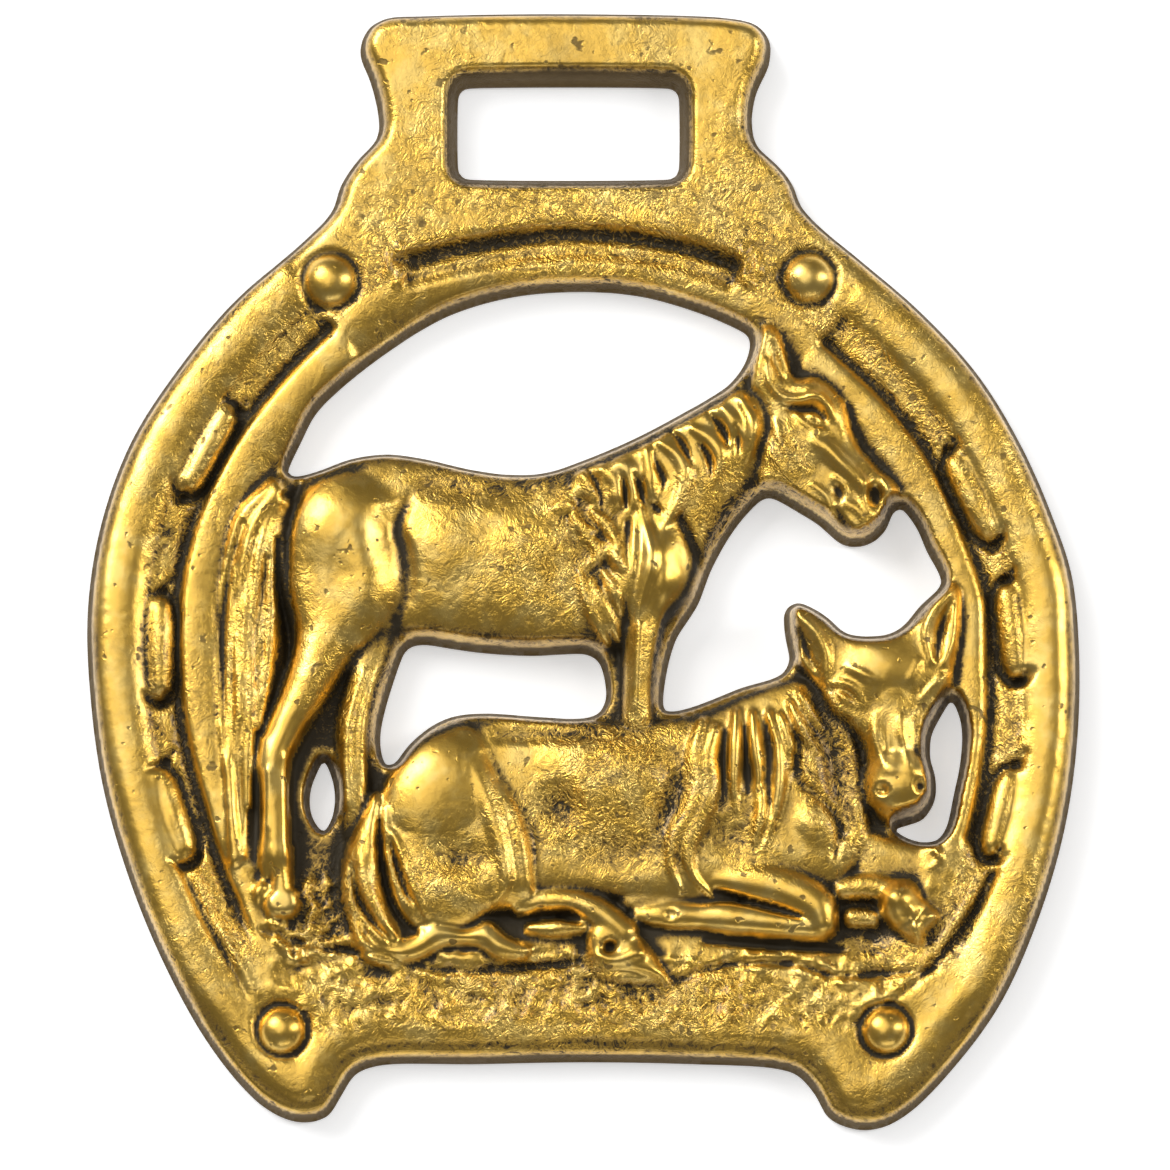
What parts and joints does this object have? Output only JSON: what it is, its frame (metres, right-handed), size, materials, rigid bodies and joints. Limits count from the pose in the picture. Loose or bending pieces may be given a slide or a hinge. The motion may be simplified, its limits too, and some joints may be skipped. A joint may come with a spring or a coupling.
{
  "type": "horse brass",
  "caption": "Cast brass harness ornament: mare standing over a lying foal in relief, pierced inside a horseshoe frame, with a strap slot in the hanger above.",
  "frame": {"origin": "middle of the bounding box, on the flat back that it lies on", "axes": "+Z out of the carved face, +Y towards the hanger and its strap slot, +X to the right as seen from the face"},
  "size_m": [0.0796, 0.0904, 0.006],
  "materials": {
    "old_brass": "polished high points with dark patina in the recesses"
  },
  "bodies": {
    "root": {"horse_brass": "old_brass"}
  },
  "joints": []
}
